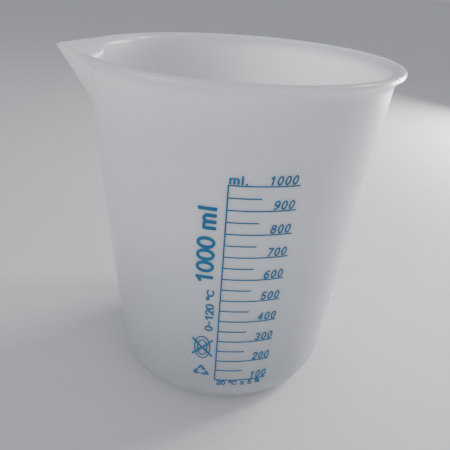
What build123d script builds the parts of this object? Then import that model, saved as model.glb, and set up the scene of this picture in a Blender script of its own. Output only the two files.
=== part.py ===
from build123d import *
import os
from math import acos, atan, cos, degrees, pi, radians, sin, sqrt, tan

# Moulded 1000 ml beaker with a printed scale. The origin is on the cup's axis in the plane it
# stands on, +Z is up, the spout points along -X and the scale is printed on the -Y side.

# ---- Driving dimensions, in millimetres and degrees ----

height = 148.5
base_radius = 51.5  # outer wall, carried straight down to the resting plane
mouth_radius = 62.2  # outer wall, carried straight up to the rim
wall = 1.7
corner_radius = 13.5  # outer rounding between the wall and the resting plane

floor_top = 4.9
floor_thickness = 2.3
foot_width = 2.2  # flat ring that the beaker stands on
foot_fillet = 1.5  # rounding between the hollow underside and the foot ring

lip_radius = 65.2  # outermost edge of the flared lip
lip_edge_radius = 0.8
lip_roll_radius = 3.6  # rounding from the inside wall over to the top of the lip
lip_root_radius = 4.0  # hollow where the underside of the lip meets the wall
lip_depth = 5.0  # how far below the rim the underside would reach the wall

spout_reach = 73.8  # from the axis to the tip of the spout
spout_root = 126.3  # height at which the spout leaves the wall
spout_swell = 11.0  # the spout opens out fastest over this height above its root
spout_throat = 3.0  # below the rim, where the spout starts to flare with the lip
root_half_angle = 76.0  # half of the angle between the spout's sides, at those three heights
swell_half_angle = 64.5
throat_half_angle = 57.0

full_volume = 1000
full_step = 100
half_step = 50

scale_azimuth = -11.0  # left end of the graduations, from -Y towards +X
spine_width = 0.6
line_width = 0.5
full_line_length = 24.7  # of the top line
half_line_length = 11.4
print_narrowing = 0.08  # share by which the bottom line is shorter than the top one

ink_thickness = 0.12
ink_gap = 0.01
ink_reach = 1.5  # half depth of the cutter that carries a flat mark onto the curved wall
ink_margin = 1.0  # how far the film that is cut runs past a mark, above and below
film_sweep = 60.0

# ---- Shape of the plain cup, before the spout ----

taper = atan((mouth_radius - base_radius) / height)
wall_across = wall / cos(taper)  # wall thickness measured level
inner_corner_radius = corner_radius - wall
floor_underside = floor_top - floor_thickness


def outer_radius(level):
    """Radius of the straight outer wall at a height."""
    return base_radius + level * tan(taper)


def inner_radius(level):
    """Radius of the inside at a height, from the rounded corner to the straight wall."""
    centre_level = floor_top + inner_corner_radius
    centre = outer_radius(centre_level) - wall_across - inner_corner_radius / cos(taper)
    if level >= centre_level - inner_corner_radius * sin(taper):
        return outer_radius(level) - wall_across
    return centre + sqrt(inner_corner_radius**2 - (level - centre_level) ** 2)


def turned(points, radii):
    """Solid of revolution about Z of an outline given as (radius, height) points."""
    corners = [(radius, 0, level) for radius, level in points]
    outline = FilletPolyline(corners, radius=radii)
    closing = Line(outline @ 1, outline @ 0)
    return revolve(make_face([outline, closing]), Axis.Z)


def filled_cup():
    """The cup with its inside filled in, up to the rim."""
    flat_end = base_radius - corner_radius * tan((pi / 2 - taper) / 2)
    recess = flat_end - foot_width
    points = [
        (0, floor_underside),
        (recess - floor_underside, floor_underside),
        (recess, 0),
        (base_radius, 0),
        (outer_radius(height - lip_depth), height - lip_depth),
        (lip_radius, height - lip_edge_radius * 1.5),
        (lip_radius, height),
        (0, height),
    ]
    radii = [foot_fillet, 0, corner_radius, lip_root_radius, lip_edge_radius, lip_edge_radius]
    return turned(points, radii)


def cavity():
    """The space inside the cup, flaring over the rolled top of the lip."""
    inside = outer_radius(height) - wall_across
    land_start = inside + lip_roll_radius
    points = [
        (0, floor_top),
        (outer_radius(floor_top) - wall_across, floor_top),
        (inside, height),
        (land_start, height),
        (land_start, height + wall),
        (0, height + wall),
    ]
    return turned(points, [inner_corner_radius, lip_roll_radius * 0.98, 0, 0])


# ---- Spout ----


def keel_reach(level):
    """Distance of the spout's keel from the axis: a straight line from the wall to the tip."""
    share = (level - spout_root) / (height - spout_root)
    root = outer_radius(spout_root)
    return root + share * (spout_reach - root)


def spout_sections():
    """(height, reach of the keel, half angle of the V) from the root up to the rim."""
    tangent_to_lip = 90 - degrees(acos(lip_radius / spout_reach))
    angles = {
        spout_root: root_half_angle,
        spout_root + spout_swell: swell_half_angle,
        height - spout_throat: throat_half_angle,
        height: tangent_to_lip,
    }
    return [(level, keel_reach(level), half_angle) for level, half_angle in angles.items()]


def beak(thickness):
    """V-shaped beak through the spout's sections, drawn in from its faces by a thickness."""
    faces = []
    for level, reach, half_angle in spout_sections():
        side = radians(half_angle)
        apex = reach - thickness / sin(side)
        foot = apex * sin(side)  # nearest distance of each side's line to the axis
        back = (-foot * sin(side), foot * cos(side))
        outline = Polygon((-apex, 0), back, (back[0], -back[1]), align=None)
        faces.append(Pos(0, 0, level) * outline)
    if thickness:
        faces.append(Pos(0, 0, wall) * faces[-1])
    return loft(faces, ruled=True)


def beaker_body():
    """One moulding: floor, foot ring, tapered wall, flared lip and pour spout."""
    solid = (filled_cup() + beak(0)) - cavity() - beak(wall)
    return [solid.solid()]


# ---- Heights of the graduations, from the volume of the inside ----


def graduation_levels():
    """Height of the liquid for every half step of volume, by adding up thin discs."""
    disc = 0.05
    levels = {}
    volume = 0.0
    wanted = half_step
    level = floor_top
    while wanted <= full_volume:
        volume += pi * inner_radius(level + disc / 2) ** 2 * disc / 1000
        level += disc
        if volume >= wanted:
            levels[wanted] = level
            wanted += half_step
    return levels


levels = graduation_levels()
full_marks = range(full_step, full_volume + 1, full_step)
half_marks = range(full_step + half_step, full_volume, full_step)


def narrowed(length, level, narrowing):
    """A length of the top line's row, made shorter towards the bottom line."""
    below_top = (levels[full_volume] - level) / (levels[full_volume] - levels[full_step])
    return length * (1 - narrowing * below_top)


# ---- Placing ink on the wall ----


def wall_plane(azimuth, level):
    """Plane lying on the wall: X level and to the right, Y up the wall, Z outwards."""
    turn = radians(azimuth)
    radius = outer_radius(level)
    return Plane(
        origin=(radius * sin(turn), -radius * cos(turn), level),
        x_dir=(cos(turn), sin(turn), 0),
        z_dir=(sin(turn) * cos(taper), -cos(turn) * cos(taper), -sin(taper)),
    )


def azimuth_at(distance, level):
    """Azimuth of a place this far round the wall from the left end of the graduations."""
    return scale_azimuth + degrees(distance / outer_radius(level))


def film_section(low, high):
    """Section of the ink film on the wall between two heights, in the XZ plane."""
    near = ink_gap / cos(taper)
    far = near + ink_thickness / cos(taper)
    corners = [
        (outer_radius(low) + near, 0, low),
        (outer_radius(low) + far, 0, low),
        (outer_radius(high) + far, 0, high),
        (outer_radius(high) + near, 0, high),
    ]
    return make_face(Polyline(corners, close=True))


def printed(sketch, distance, level):
    """A flat sketch printed on the wall, its origin at a distance round from the scale."""
    azimuth = azimuth_at(distance, level)
    box = sketch.bounding_box()
    section = film_section(level + box.min.Y - ink_margin, level + box.max.Y + ink_margin)
    film = Rot(0, 0, azimuth - 90 - film_sweep / 2) * revolve(section, Axis.Z, film_sweep)
    cutter = extrude(wall_plane(azimuth, level) * sketch, ink_reach, both=True)
    return (cutter & film).solids()


def printed_line(level, length):
    """A level line on the wall, starting at the upright line of the scale."""
    start = azimuth_at(spine_width / 2 + 2 * ink_gap, level)
    sweep = degrees(length / outer_radius(level))
    section = film_section(level - line_width / 2, level + line_width / 2)
    return (Rot(0, 0, start - 90) * revolve(section, Axis.Z, sweep)).solids()


# ---- Characters, drawn as strokes on a height of 1 ----

stroke_width = 0.2
thin_stroke = 0.5  # of marks that are drawn at their real size
thick_stroke = 0.9
arrow_stroke = 0.12  # of the triangle of arrows, which is drawn on a height of 1


def stroked(*lines, width=stroke_width):
    """Strokes of one width with round ends, joined into one sketch."""
    return Sketch() + [SlotArc(line, width) for line in lines]


def ring(x, y, radius_x, radius_y, width=stroke_width):
    """A closed elliptical stroke."""
    half = width / 2
    band = Ellipse(radius_x + half, radius_y + half) - Ellipse(radius_x - half, radius_y - half)
    return Pos(x, y) * band


def segments(*points):
    """Straight strokes through points."""
    return stroked(*[Line(a, b) for a, b in zip(points, points[1:])])


def arc(x, y, radius, start, sweep):
    return stroked(CenterArc((x, y), radius, start, sweep))


def zero():
    return ring(0.27, 0.5, 0.27, 0.5)


def one():
    return segments((0.1, 0.78), (0.34, 1), (0.34, 0))


def two():
    bowl = CenterArc((0.27, 0.73), 0.27, 165, -205)
    return stroked(bowl) + segments(bowl @ 1, (0, 0), (0.54, 0))


def three():
    return arc(0.26, 0.75, 0.25, 150, -240) + arc(0.26, 0.25, 0.25, 90, -240)


def four():
    return segments((0.42, 0), (0.42, 1), (0, 0.3), (0.54, 0.3))


def five():
    return segments((0.5, 1), (0.1, 1), (0.05, 0.5)) + arc(0.25, 0.29, 0.29, 135, -285)


def six():
    back = ThreePointArc((0, 0.28), (0.1, 0.78), (0.48, 0.98))
    return ring(0.27, 0.28, 0.27, 0.28) + stroked(back)


def seven():
    return segments((0, 1), (0.54, 1), (0.2, 0))


def eight():
    return ring(0.27, 0.76, 0.23, 0.24) + ring(0.27, 0.26, 0.27, 0.26)


def nine():
    return Pos(0.54, 1) * Rot(0, 0, 180) * six()


def minus():
    return segments((0.08, 0.45), (0.46, 0.45))


def point():
    return Pos(0.08, 0) * Circle(stroke_width * 0.6)


def letter_m():
    arches = arc(0.18, 0.5, 0.18, 180, -180) + arc(0.54, 0.5, 0.18, 180, -180)
    stems = [segments((x, 0), (x, top)) for x, top in [(0, 0.68), (0.36, 0.5), (0.72, 0.5)]]
    return arches + stems


def letter_l():
    return segments((0.12, 0), (0.12, 1))


def letter_c():
    return arc(0.42, 0.5, 0.42, 50, 260)


def degree():
    return ring(0.18, 0.84, 0.15, 0.15)


def plus_minus():
    plus = segments((0, 0.6), (0.54, 0.6)) + segments((0.27, 0.3), (0.27, 0.9))
    return plus + segments((0, 0), (0.54, 0))


def percent():
    slash = segments((0.12, 0), (0.62, 1))
    return ring(0.15, 0.8, 0.15, 0.2) + ring(0.6, 0.2, 0.15, 0.2) + slash


# For each character, its drawing and how far the next one starts to its right.
characters = {
    "0": (zero, 0.74),
    "1": (one, 0.74),
    "2": (two, 0.74),
    "3": (three, 0.74),
    "4": (four, 0.74),
    "5": (five, 0.74),
    "6": (six, 0.74),
    "7": (seven, 0.74),
    "8": (eight, 0.74),
    "9": (nine, 0.74),
    "-": (minus, 0.7),
    ".": (point, 0.3),
    "m": (letter_m, 0.96),
    "l": (letter_l, 0.42),
    "C": (letter_c, 0.95),
    "°": (degree, 0.5),
    "±": (plus_minus, 0.8),
    "%": (percent, 1.0),
    " ": (None, 0.4),
}


def shaped(sketch, width, tall, lean=0.0):
    """A sketch stretched to a width and a height, and leaning to the right."""
    return sketch.transform_geometry(
        Matrix([[width, width * lean, 0, 0], [0, tall, 0, 0], [0, 0, 1, 0]])
    )


def level_text(text, start, level, width, tall, lean=0.0, spacing=0.0):
    """Characters printed side by side round the wall, standing on a height."""
    solids = []
    pen = start
    for name in text:
        drawing, advance = characters[name]
        if drawing:
            mark = shaped(Pos(0, stroke_width / 2) * drawing(), width, tall, lean)
            solids += printed(mark, pen, level)
        pen += advance * width + spacing
    return solids


def upward_text(text, baseline, start, width, tall):
    """Characters printed one above another up the wall, their tops to the left."""
    solids = []
    pen = start
    for name in text:
        drawing, advance = characters[name]
        if drawing:
            mark = shaped(drawing(), width, tall)
            solids += printed(Rot(0, 0, 90) * mark, baseline, pen)
        pen += advance * width * cos(taper)
    return solids


# ---- The print ----

text_lift = line_width * 0.9  # from the middle of a line to the foot of the text on it
numeral_width = 2.9
numeral_spacing = 0.6
numeral_share = 0.315  # height of a numeral over the gap between two full marks
numeral_lean = 0.16
numeral_end = 24.2  # right end of the top numeral
care_level = 37.3  # middles of the two marks at the foot of the print
recycling_level = 22.9
mark_middle = -6.2  # and how far they are from the scale


def scale_spine():
    """Upright line at the left end of the graduations."""
    low = levels[full_step] - line_width / 2
    high = levels[full_volume] + line_width / 2
    mark = Rectangle(spine_width, (high - low) / cos(taper), align=(Align.CENTER, Align.MIN))
    return printed(mark, 0, low)


def full_lines():
    solids = []
    for mark in full_marks:
        length = narrowed(full_line_length, levels[mark], print_narrowing)
        solids += printed_line(levels[mark], length)
    return solids


def half_lines():
    return [part for mark in half_marks for part in printed_line(levels[mark], half_line_length)]


def numerals():
    """The volume over the right end of every full line."""
    pitch = characters["0"][1] * numeral_width + numeral_spacing
    last_width = numeral_width * (0.54 + stroke_width / 2 + numeral_lean)
    solids = []
    for mark in full_marks:
        level = levels[mark]
        gap = 2 * (level - levels[mark - half_step])
        end = narrowed(numeral_end, level, print_narrowing / 2)
        start = end - last_width - pitch * (len(str(mark)) - 1)
        tall = gap * numeral_share
        solids += level_text(
            str(mark), start, level + text_lift, numeral_width, tall, numeral_lean, numeral_spacing
        )
    return solids


def unit_mark():
    """The unit, ml, over the left end of the top line."""
    return level_text("ml.", 0.5, levels[full_volume] + text_lift, width=3.8, tall=2.8)


def tolerance_mark():
    """Temperature and tolerance of the scale, under the lowest line."""
    return level_text("20 °C ± 5 %", 1.0, levels[full_step] - 3.2, width=2.85, tall=2.3)


def capacity_mark():
    """The nominal capacity, large, up the wall to the left of the scale."""
    return upward_text("1000 ml", -3.7, levels[550] + 3, width=7.3, tall=5.9)


def temperature_mark():
    """The range of use in degrees Celsius, up the wall under the capacity."""
    return upward_text("0-120 °C", -2.5, levels[350], width=4.0, tall=2.85)


def care_mark():
    """Two upright ovals, one in the other, struck through by a cross."""
    ovals = ring(0, 0, 3.3, 6.3, thin_stroke) + ring(0, 0, 2.0, 4.3, thin_stroke)
    strikes = [Line((-4.1, -4.4 * side), (4.1, 4.4 * side)) for side in (-1, 1)]
    return printed(ovals + stroked(*strikes, width=thick_stroke), mark_middle, care_level)


def recycling_mark():
    """Three arrows that chase each other round the corners of a triangle."""
    tail = stroked(Line((0, 0), (0.3, 0)), width=arrow_stroke)
    shaft = stroked(Line((0, 0), (0.25, 0)), width=arrow_stroke)
    head = Polygon((0.24, -0.13), (0.48, 0), (0.24, 0.13), align=None)
    bent = Pos(0, 0.5) * (Rot(0, 0, -120) * tail + Rot(0, 0, -60) * (shaft + head))
    arrows = Sketch() + [Rot(0, 0, turn) * bent for turn in (0, 120, 240)]
    return printed(shaped(arrows, width=7.3, tall=6.5), mark_middle, recycling_level)


# ---- One file for each node ----

nodes = [
    beaker_body,
    scale_spine,
    full_lines,
    half_lines,
    numerals,
    unit_mark,
    tolerance_mark,
    capacity_mark,
    temperature_mark,
    care_mark,
    recycling_mark,
]

os.makedirs("parts", exist_ok=True)
for node in nodes:
    export_step(Compound(children=node()), f"parts/{node.__name__}.step")
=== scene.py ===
import math

import bpy
from mathutils import Matrix, Vector


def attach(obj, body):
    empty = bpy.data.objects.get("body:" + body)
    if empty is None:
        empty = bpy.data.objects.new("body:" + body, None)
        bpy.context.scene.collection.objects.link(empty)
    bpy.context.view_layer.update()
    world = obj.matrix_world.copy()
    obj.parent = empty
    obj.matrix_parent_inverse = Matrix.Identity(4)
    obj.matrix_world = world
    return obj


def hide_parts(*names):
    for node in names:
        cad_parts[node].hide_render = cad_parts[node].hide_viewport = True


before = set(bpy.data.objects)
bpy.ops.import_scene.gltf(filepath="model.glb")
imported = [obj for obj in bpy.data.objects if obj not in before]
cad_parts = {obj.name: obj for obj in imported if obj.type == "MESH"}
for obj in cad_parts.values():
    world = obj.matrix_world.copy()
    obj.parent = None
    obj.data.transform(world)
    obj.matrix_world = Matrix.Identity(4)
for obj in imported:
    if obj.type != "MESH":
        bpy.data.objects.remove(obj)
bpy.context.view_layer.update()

MM = 0.001

# ---- Sizes of the moulding in millimetres, as in the CAD model ----

HEIGHT = 148.5
BASE_RADIUS = 51.5
MOUTH_RADIUS = 62.2
WALL = 1.7
CORNER_RADIUS = 13.5
FLOOR_TOP = 4.9
FLOOR_UNDERSIDE = 2.6
FOOT_WIDTH = 2.2
LIP_RADIUS = 65.2
SPOUT_REACH = 73.8
SPOUT_ROOT = 126.3

TAPER = math.atan((MOUTH_RADIUS - BASE_RADIUS) / HEIGHT)
WALL_ACROSS = WALL / math.cos(TAPER)

# ---- Finer sizes in millimetres, which the CAD model has otherwise or leaves out ----

LIP_ROLL = 3.3
CREST_FROM_EDGE = 1.5
CREST_WIDTH = 0.05
CREST_FALL = 0.1
LIP_EDGE_DEPTH = 1.9
LIP_TOP_ROUNDING = 1.3
LIP_EDGE_ROUNDING = 0.45
FLARE_DEPTH = 4.6
FLARE_ROUNDING = 3.6
FOOT_ROUNDING = 0.4
RECESS_ROUNDING = 1.5
GATE_RADIUS = 2.0
GATE_DEPTH = 0.4
GATE_ROUNDING = 0.15
GATE_LEVEL = FLOOR_UNDERSIDE - GATE_DEPTH

# ---- Fineness of the mesh ----

STEPS_PER_RADIAN = 9
LONGEST_STEP = 4.0
COLUMNS = 320
CROWDING = 0.75


def clamp(value, low=0.0, high=1.0):
    return max(low, min(high, value))


def smooth_step(value):
    value = clamp(value)
    return value * value * (3 - 2 * value)


def outer_radius(level):
    return BASE_RADIUS + level * math.tan(TAPER)


# ---- Outline of the moulding, turned round the axis ----


def rounded(corners):
    """Points along a polyline whose corners, given as (radius, level, rounding), are arcs."""
    points = []
    for index, (x, y, rounding) in enumerate(corners):
        corner = Vector((x, y))
        if rounding == 0:
            points.append(corner)
            continue
        before = (Vector(corners[index - 1][:2]) - corner).normalized()
        after = (Vector(corners[index + 1][:2]) - corner).normalized()
        half = before.angle(after) / 2
        centre = corner + (before + after).normalized() * (rounding / math.sin(half))
        start = corner + before * (rounding / math.tan(half)) - centre
        sweep = start.angle_signed(corner + after * (rounding / math.tan(half)) - centre)
        count = max(2, round(abs(sweep) * STEPS_PER_RADIAN))
        for step in range(count + 1):
            turn = Matrix.Rotation(-sweep * step / count, 2)
            points.append(centre + turn @ start)
    return points


def spaced(points):
    """The same line with points added where two of them are far apart."""
    filled = [points[0]]
    for a, b in zip(points, points[1:]):
        pieces = max(1, math.ceil((b - a).length / LONGEST_STEP))
        filled += [a.lerp(b, piece / pieces) for piece in range(1, pieces + 1)]
    return filled


def inner_outline():
    """From the middle of the floor, up the inside and over the rolled lip to its crest."""
    inside = outer_radius(HEIGHT) - WALL_ACROSS
    corners = [
        (0.0, FLOOR_TOP, 0),
        (outer_radius(FLOOR_TOP) - WALL_ACROSS, FLOOR_TOP, CORNER_RADIUS - WALL),
        (inside, HEIGHT, LIP_ROLL),
        (LIP_RADIUS - CREST_FROM_EDGE, HEIGHT, 0),
    ]
    return spaced(rounded(corners))


def outer_outline():
    """From the crest of the lip, round its edge and down the outside to the middle below."""
    flat_end = BASE_RADIUS - CORNER_RADIUS * math.tan((math.pi / 2 - TAPER) / 2)
    recess = flat_end - FOOT_WIDTH
    flare = HEIGHT - FLARE_DEPTH
    corners = [
        (LIP_RADIUS - CREST_FROM_EDGE + CREST_WIDTH, HEIGHT, 0),
        (LIP_RADIUS, HEIGHT - CREST_FALL, LIP_TOP_ROUNDING),
        (LIP_RADIUS, HEIGHT - LIP_EDGE_DEPTH, LIP_EDGE_ROUNDING),
        (outer_radius(flare), flare, FLARE_ROUNDING),
        (BASE_RADIUS, 0.0, CORNER_RADIUS),
        (recess, 0.0, FOOT_ROUNDING),
        (recess - FLOOR_UNDERSIDE, FLOOR_UNDERSIDE, RECESS_ROUNDING),
        (GATE_RADIUS, FLOOR_UNDERSIDE, GATE_ROUNDING),
        (GATE_RADIUS, GATE_LEVEL, GATE_ROUNDING),
        (0.0, GATE_LEVEL, 0),
    ]
    return spaced(rounded(corners))


# ---- Spout ----


def keel_reach(level):
    """Distance of the spout's keel from the axis, a straight line up to the tip."""
    share = (level - SPOUT_ROOT) / (HEIGHT - SPOUT_ROOT)
    root = outer_radius(SPOUT_ROOT)
    return root + share * (SPOUT_REACH - root)


def half_angle(level):
    """Half of the angle between the spout's sides, from its root to the rim."""
    marks = [(SPOUT_ROOT, 76.0), (SPOUT_ROOT + 11, 64.5), (HEIGHT - 3, 57.0), (HEIGHT, 60.0)]
    if level <= marks[0][0]:
        return math.radians(marks[0][1])
    for (low, start), (high, end) in zip(marks, marks[1:]):
        if level <= high:
            return math.radians(start + (end - start) * (level - low) / (high - low))
    return math.radians(marks[-1][1])


def spout_line(level, inset, angle):
    """Radius, at an angle from the keel, of the V that the spout's sides make.

    The keel is sharp outside and rounded inside, where the sides lie inset.
    """
    sharp_keel = 0.003
    rounding_per_inset = 0.02
    widest = 1.2
    half = half_angle(level)
    foot = keel_reach(level) * math.sin(half) - inset
    foot_angle = math.pi / 2 - half
    keel_rounding = sharp_keel + rounding_per_inset * inset
    away = math.sqrt(angle * angle + keel_rounding**2) - foot_angle
    if away <= 0:
        return foot / math.cos(away)
    if away > widest:
        return 0.0
    return 2 * foot - foot / math.cos(away)


def crease_width(level):
    """How far the crease beside the spout is rounded: softly at the root, sharply above."""
    sharp = 0.12
    soft = 0.9
    soft_until = 2
    fading = 9
    return sharp + soft * (1 - smooth_step((level - SPOUT_ROOT - soft_until) / fading))


def with_spout(radius, level, inset, angle):
    """The cup's radius pushed out to the spout's sides, with a rounded crease between them."""
    crease = crease_width(level)
    over = spout_line(level, inset, angle) - radius
    if over <= -crease:
        return radius
    if over >= crease:
        return radius + over
    return radius + (over + crease) ** 2 / (4 * crease)


def inner_inset(level):
    """How far the spout's inner sides lie in: a wall, more in the throat, less on the roll."""
    throat_inset = 0.6
    throat_depth = 9
    throat_length = 7
    roll_outset = 1.3
    above_roll_start = level - (HEIGHT - LIP_ROLL)
    throat = smooth_step((above_roll_start + throat_depth) / throat_length)
    roll = smooth_step(above_roll_start / LIP_ROLL)
    return WALL + throat_inset * throat - roll_outset * roll


def outer_inset(radius, level):
    """How far the spout's outer sides lie in: nothing, but for a little on top of the rim."""
    rim_depth = 1.5
    share = 0.3
    rim = smooth_step((level - HEIGHT + rim_depth) / rim_depth)
    return share * rim * max(0.0, LIP_RADIUS - radius)


# ---- The moulding as one closed mesh ----


def column_angles():
    """Angles from the spout, close together at the spout and wider apart behind."""
    angles = []
    for column in range(COLUMNS):
        turn = 2 * math.pi * column / COLUMNS - math.pi
        angles.append(turn - CROWDING * math.sin(turn))
    return angles


def body_rows():
    """(radius, level, inset of the spout's sides) for every ring of the mesh but the poles."""
    inner = [(point.x, point.y, inner_inset(point.y)) for point in inner_outline()[1:]]
    outer = [(point.x, point.y, outer_inset(point.x, point.y)) for point in outer_outline()[:-1]]
    return inner + outer


def body_mesh():
    verts = []
    faces = []
    angles = column_angles()
    rows = body_rows()
    for radius, level, inset in rows:
        for angle in angles:
            reach = with_spout(radius, level, inset, angle)
            verts.append((-reach * math.cos(angle) * MM, -reach * math.sin(angle) * MM, level * MM))
    for row in range(len(rows) - 1):
        for column in range(COLUMNS):
            a = row * COLUMNS + column
            b = row * COLUMNS + (column + 1) % COLUMNS
            faces.append((a, a + COLUMNS, b + COLUMNS, b))
    floor_pole = len(verts)
    verts.append((0, 0, FLOOR_TOP * MM))
    under_pole = len(verts)
    verts.append((0, 0, GATE_LEVEL * MM))
    last = (len(rows) - 1) * COLUMNS
    for column in range(COLUMNS):
        beside = (column + 1) % COLUMNS
        faces.append((floor_pole, column, beside))
        faces.append((under_pole, last + beside, last + column))
    mesh = bpy.data.meshes.new("moulding")
    mesh.from_pydata(verts, [], faces)
    mesh.validate()
    mesh.shade_smooth()
    return mesh


# ---- Materials ----


def new_material(name):
    """A new material with its node tree and its shader."""
    m = bpy.data.materials.new(name)
    m.use_nodes = True
    return m, m.node_tree, m.node_tree.nodes["Principled BSDF"]


def noise(tree, place, scale, detail):
    """Noise in the object's own coordinates, finer with a larger scale."""
    node = tree.nodes.new("ShaderNodeTexNoise")
    node.inputs["Scale"].default_value = scale
    node.inputs["Detail"].default_value = detail
    tree.links.new(place.outputs["Object"], node.inputs["Vector"])
    return node.outputs["Fac"]


def tinted(tree, amount, darker, lighter):
    """A colour that goes from a darker to a lighter one as a noise rises through its middle."""
    node = tree.nodes.new("ShaderNodeValToRGB")
    ends = node.color_ramp.elements
    ends[0].position = 0.3
    ends[1].position = 0.7
    ends[0].color = darker
    ends[1].color = lighter
    tree.links.new(amount, node.inputs["Fac"])
    return node.outputs["Color"]


def ranged(tree, value, low, high, source_low=0.0, source_high=1.0):
    """A value brought from its own range to another one."""
    node = tree.nodes.new("ShaderNodeMapRange")
    node.inputs["From Min"].default_value = source_low
    node.inputs["From Max"].default_value = source_high
    node.inputs["To Min"].default_value = low
    node.inputs["To Max"].default_value = high
    tree.links.new(value, node.inputs["Value"])
    return node


# Mask for the painted shade at the foot, which is deeper outside than inside.
def facing_out(tree, place):
    """Positive where the surface faces out or down, negative where it faces in or up."""
    outwards = tree.nodes.new("ShaderNodeVectorMath")
    outwards.operation = "MULTIPLY_ADD"
    outwards.inputs[1].default_value = (1, 1, 0)
    outwards.inputs[2].default_value = (0, 0, -BASE_RADIUS * MM)
    tree.links.new(place.outputs["Object"], outwards.inputs[0])
    facing = tree.nodes.new("ShaderNodeVectorMath")
    facing.operation = "DOT_PRODUCT"
    tree.links.new(outwards.outputs["Vector"], facing.inputs[0])
    tree.links.new(place.outputs["Normal"], facing.inputs[1])
    return facing.outputs["Value"]


def painted_shade_to_foot(tree, place, colour):
    """The colour with painted shade: darker towards the foot, and more so outside than inside."""
    # Painted shade: how dark the colour gets at the foot, inside and outside, and the level above
    # which it is unshaded.
    inside_tone = 0.8
    outside_tone = 0.55
    turning_over = 0.02
    full_tone_level = 0.8 * HEIGHT * MM
    facing = facing_out(tree, place)
    foot_tone = ranged(tree, facing, inside_tone, outside_tone, -turning_over, turning_over)
    level = tree.nodes.new("ShaderNodeSeparateXYZ")
    tree.links.new(place.outputs["Object"], level.inputs["Vector"])
    tone = ranged(tree, level.outputs["Z"], outside_tone, 1.0, 0.0, full_tone_level)
    tone.interpolation_type = "SMOOTHSTEP"
    tree.links.new(foot_tone.outputs["Result"], tone.inputs["To Min"])
    dimmed = tree.nodes.new("ShaderNodeVectorMath")
    dimmed.operation = "SCALE"
    tree.links.new(colour, dimmed.inputs[0])
    tree.links.new(tone.outputs["Result"], dimmed.inputs["Scale"])
    return dimmed.outputs["Vector"]


def milky_plastic():
    m, tree, shader = new_material("milky_plastic")
    place = tree.nodes.new("ShaderNodeTexCoord")
    haze = noise(tree, place, scale=22, detail=3)
    milky = tinted(tree, haze, (0.79, 0.815, 0.87, 1), (0.85, 0.875, 0.93, 1))
    # The plastic's base colour carries painted shade, darkening towards the foot.
    tree.links.new(painted_shade_to_foot(tree, place, milky), shader.inputs["Base Color"])
    satin = ranged(tree, haze, 0.19, 0.265)
    tree.links.new(satin.outputs["Result"], shader.inputs["Roughness"])
    bump = tree.nodes.new("ShaderNodeBump")
    bump.inputs["Strength"].default_value = 0.05
    bump.inputs["Distance"].default_value = 0.0003
    tree.links.new(noise(tree, place, scale=900, detail=4), bump.inputs["Height"])
    tree.links.new(bump.outputs["Normal"], shader.inputs["Normal"])
    shader.inputs["Subsurface Weight"].default_value = 1.0
    shader.inputs["Subsurface Radius"].default_value = (1.0, 0.95, 0.9)
    shader.inputs["Subsurface Scale"].default_value = 0.0055
    return m


def blue_ink():
    m, tree, shader = new_material("blue_ink")
    place = tree.nodes.new("ShaderNodeTexCoord")
    cover = noise(tree, place, scale=350, detail=3)
    blue = tinted(tree, cover, (0.004, 0.135, 0.32, 1), (0.005, 0.17, 0.38, 1))
    tree.links.new(blue, shader.inputs["Base Color"])
    satin = ranged(tree, cover, 0.35, 0.5)
    tree.links.new(satin.outputs["Result"], shader.inputs["Roughness"])
    return m


def floor_paper():
    m, _, shader = new_material("floor_paper")
    shader.inputs["Base Color"].default_value = (0.88, 0.89, 0.90, 1)
    shader.inputs["Roughness"].default_value = 0.9
    return m


# ---- The object ----


def body():
    piece = bpy.data.objects.new("moulded_body", body_mesh())
    piece.data.materials.append(milky_plastic())
    bpy.context.scene.collection.objects.link(piece)
    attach(piece, "root")
    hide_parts("beaker_body")


def print_ink():
    ink = blue_ink()
    for name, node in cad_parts.items():
        if name != "beaker_body":
            node.data.materials.clear()
            node.data.materials.append(ink)


# ---- Camera, floor and lights, in metres ----


def camera():
    """Looks down on the printed side from a little towards the spout, rolled a few degrees."""
    azimuth = math.radians(-10)
    distance = 0.20296
    eye_height = 0.17553
    aim_height = 0.06763
    aim_left = 0.00175
    roll = math.radians(4.22)
    away = Vector((math.sin(azimuth), -math.cos(azimuth), 0))
    right = Vector((math.cos(azimuth), math.sin(azimuth), 0))
    eye = away * distance + Vector((0, 0, eye_height))
    aim = -right * aim_left + Vector((0, 0, aim_height))
    data = bpy.data.cameras.new("camera")
    data.lens = 37.41
    data.sensor_width = 36
    made = bpy.data.objects.new("camera", data)
    turn = (aim - eye).to_track_quat("-Z", "Y").to_matrix().to_4x4()
    made.matrix_world = Matrix.Translation(eye) @ turn @ Matrix.Rotation(roll, 4, "Z")
    bpy.context.scene.collection.objects.link(made)
    bpy.context.scene.camera = made


def floor():
    bpy.ops.mesh.primitive_plane_add(size=20, location=(0, 0, 0))
    plane = bpy.context.object
    plane.name = "floor"
    plane.data.materials.append(floor_paper())


def light(name, place, size, power, aim=(0, 0, 0.07)):
    data = bpy.data.lights.new(name, "AREA")
    data.size = size
    data.energy = power
    made = bpy.data.objects.new(name, data)
    made.location = place
    made.rotation_euler = (Vector(aim) - Vector(place)).to_track_quat("-Z", "Y").to_euler()
    bpy.context.scene.collection.objects.link(made)


def surroundings():
    world = bpy.data.worlds.new("world")
    bpy.context.scene.world = world
    world.use_nodes = True
    background = world.node_tree.nodes["Background"]
    background.inputs["Color"].default_value = (0.86, 0.89, 0.95, 1)
    background.inputs["Strength"].default_value = 0.41


camera()
body()
print_ink()
floor()
light("key", (0.60, 0.32, 0.13), size=0.30, power=6.6, aim=(0, 0, 0.11))
light("glint", (0.48, 0.08, 0.50), size=0.08, power=0.9, aim=(0, 0, 0.14))
light("left_fill", (-0.80, -0.45, 0.30), size=0.6, power=2.4)
light("front_fill", (0.50, -0.75, 0.35), size=0.5, power=0.7)
surroundings()
